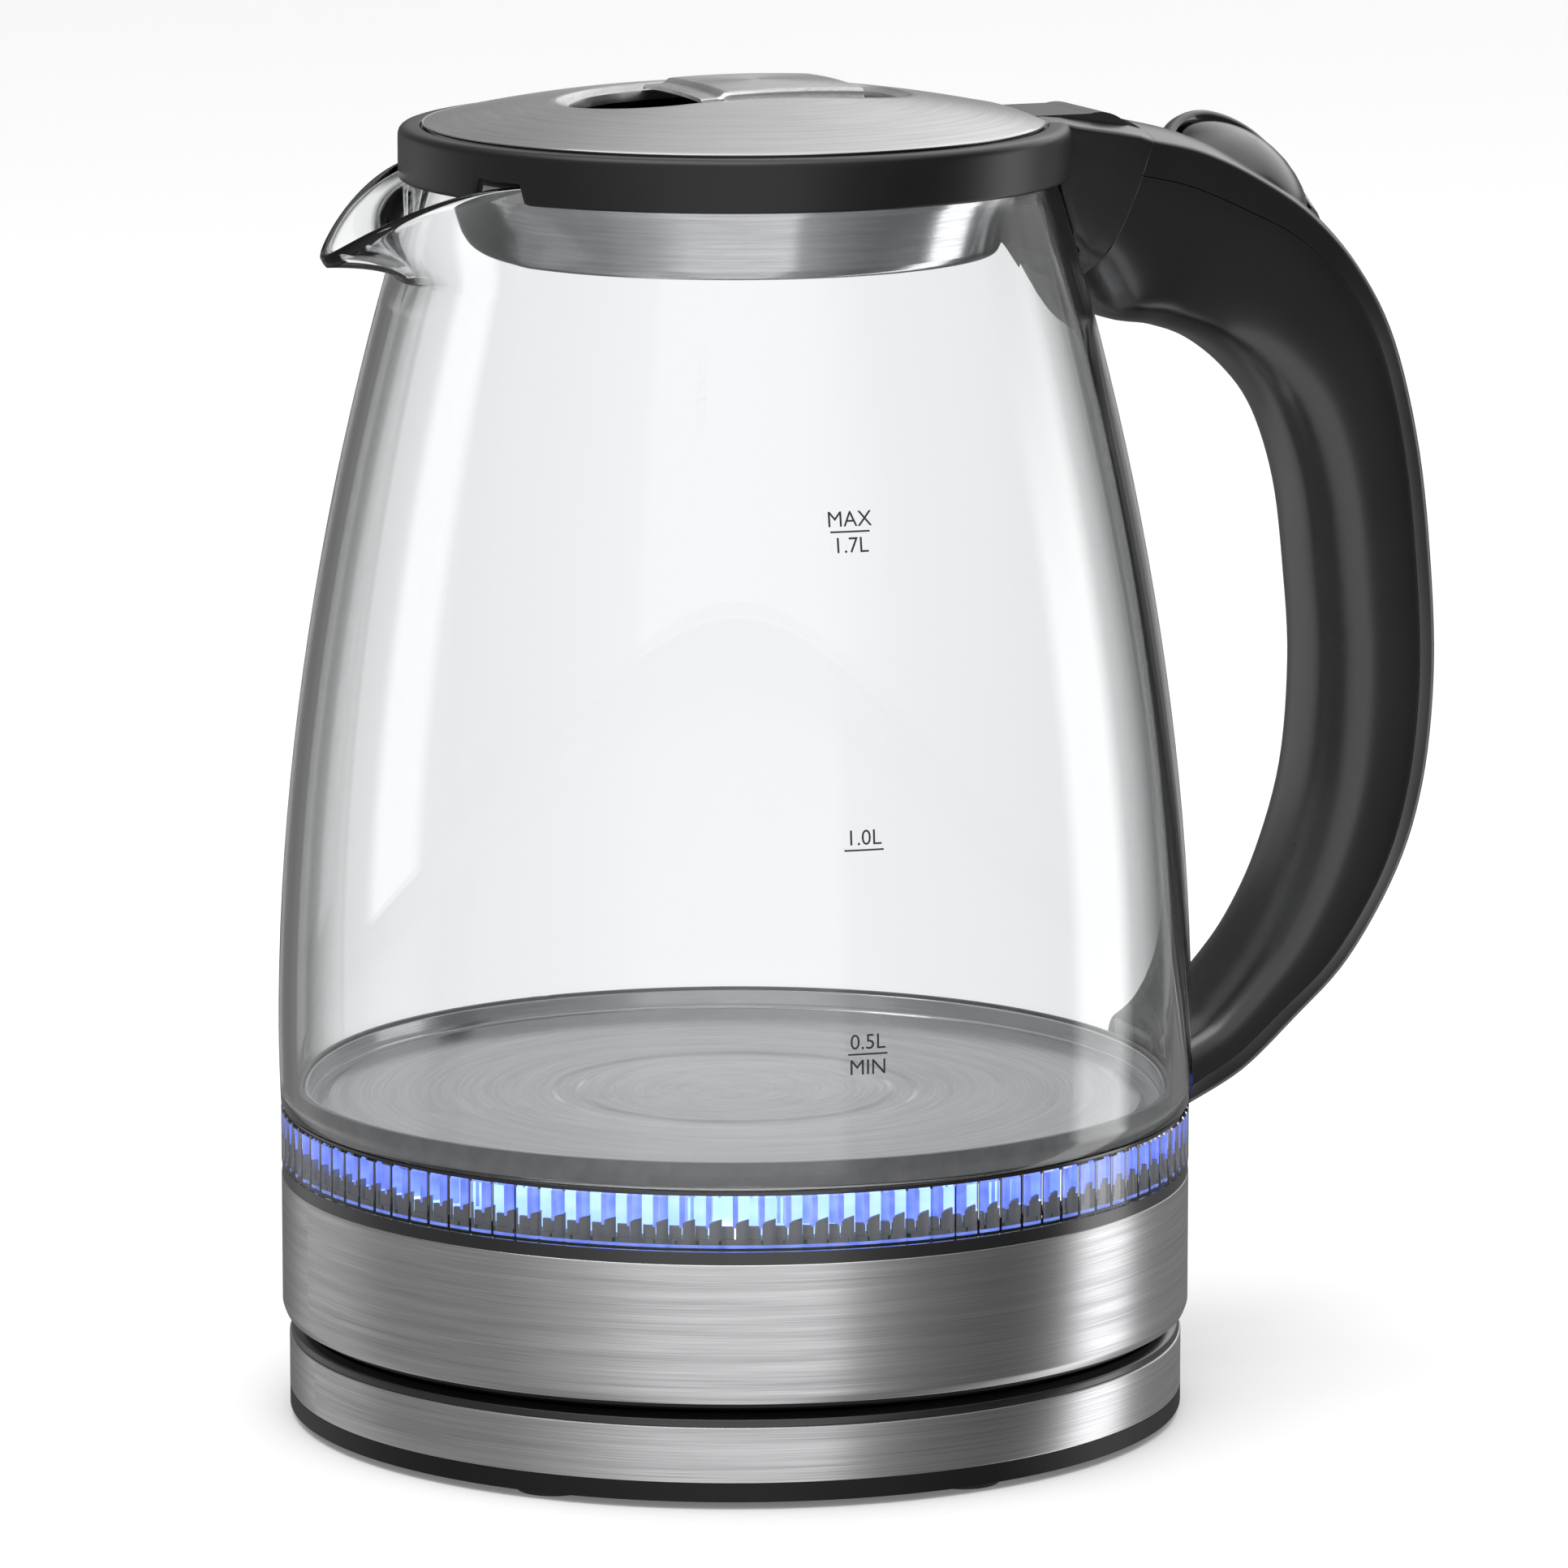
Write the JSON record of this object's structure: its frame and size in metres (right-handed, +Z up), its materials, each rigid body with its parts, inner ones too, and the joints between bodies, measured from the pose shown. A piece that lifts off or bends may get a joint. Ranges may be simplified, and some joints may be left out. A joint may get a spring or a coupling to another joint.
{
  "type": "electric kettle",
  "caption": "Cordless electric kettle: glass carafe with pouring spout, hinged lid, C-shaped handle and lit ring, standing on a round power base it turns on and lifts off.",
  "frame": {"origin": "centre of the power base on the table, on the axis of the connector", "axes": "+Z up along the axis of the carafe, +X towards the handle, -X towards the spout, +Y to the left when looking from the spout to the handle"},
  "size_m": [0.1969, 0.1486, 0.2174],
  "materials": {
    "black_plastic": "satin moulded",
    "gloss_black": "polished moulded",
    "grey_plastic": "moulded",
    "white_plastic": "moulded",
    "brushed_steel": "brushed",
    "polished_steel": "polished",
    "glass": "clear",
    "light_ring": "clear fluted, lit blue from inside",
    "silicone": "matt",
    "rubber": "matt",
    "brass": "plain",
    "aluminium": "cast",
    "circuit_board": "printed board",
    "led": "lit blue"
  },
  "bodies": {
    "power_base": {"base_bottom_cover": "black_plastic", "base_feet": "rubber", "base_steel_ring": "brushed_steel", "base_top_plate": "gloss_black", "base_connector": "grey_plastic", "base_contacts": "brass", "base_screws": "polished_steel", "cord_gland": "gloss_black"},
    "connector_swivel": {"connector_insert": "rubber"},
    "kettle": {"bottom_cover": "black_plastic", "seam_ring": "black_plastic", "glass_foot_ring": "black_plastic", "rim_collar": "black_plastic", "handle_nose": "black_plastic", "handle_shell": "black_plastic", "handle_cover": "black_plastic", "button_bezel": "gloss_black", "socket_housing": "grey_plastic", "switch_housing": "grey_plastic", "control_unit": "white_plastic", "steam_tube": "white_plastic", "steel_band": "brushed_steel", "heating_plate": "brushed_steel", "foot_bracket": "polished_steel", "bottom_screws": "polished_steel", "handle_screws": "polished_steel", "hinge_pin": "polished_steel", "hinge_spring": "polished_steel", "switch_spring": "polished_steel", "button_spring": "polished_steel", "glass_carafe": "glass", "light_ring": "light_ring", "plate_seal": "silicone", "rim_seal": "silicone", "upper_pad": "rubber", "socket_contacts": "brass", "bimetal_disc": "brass", "heat_spreader": "aluminium", "heating_element": "aluminium", "led_board": "circuit_board", "leds": "led"},
    "lid": {"lid_disc": "brushed_steel", "lid_grip": "brushed_steel", "lid_body": "black_plastic", "finger_well": "black_plastic", "lid_skirt": "polished_steel", "lid_seal": "silicone", "lid_tabs": "grey_plastic", "lid_screws": "polished_steel"},
    "lid_button": {"release_button": "gloss_black"},
    "lid_latch": {"latch_slide": "grey_plastic"},
    "power_switch": {"power_lever": "gloss_black"}
  },
  "joints": [
    {"name": "kettle_swivel", "type": "hinge", "parent": "power_base", "child": "connector_swivel", "pos_m": [0, 0, 0.02], "axis": [0, 0, 1], "continuous": true},
    {"name": "kettle_lift", "type": "slide", "parent": "connector_swivel", "child": "kettle", "axis": [0, 0, 1], "range_m": [0, 0.06]},
    {"name": "lid_hinge", "type": "hinge", "parent": "kettle", "child": "lid", "pos_m": [0.06, 0, 0.204], "axis": [0, 1, 0], "range_deg": [0, 75], "deforming": ["hinge_spring"]},
    {"name": "button_press", "type": "slide", "parent": "kettle", "child": "lid_button", "axis": [-0.3939, 0, -0.9191], "range_m": [0, 0.003], "stiffness_N_per_m": 300, "deforming": ["button_spring"]},
    {"name": "latch_travel", "type": "slide", "parent": "kettle", "child": "lid_latch", "axis": [1, 0, 0], "range_m": [0, 0.0025]},
    {"name": "power_switch_tilt", "type": "hinge", "parent": "kettle", "child": "power_switch", "pos_m": [0.07, 0, 0.03], "axis": [0, 1, 0], "range_deg": [0, 8], "deforming": ["switch_spring"]}
  ],
  "couplings": [
    {"joint": "latch_travel", "follows": "button_press", "ratio": 0.8}
  ]
}
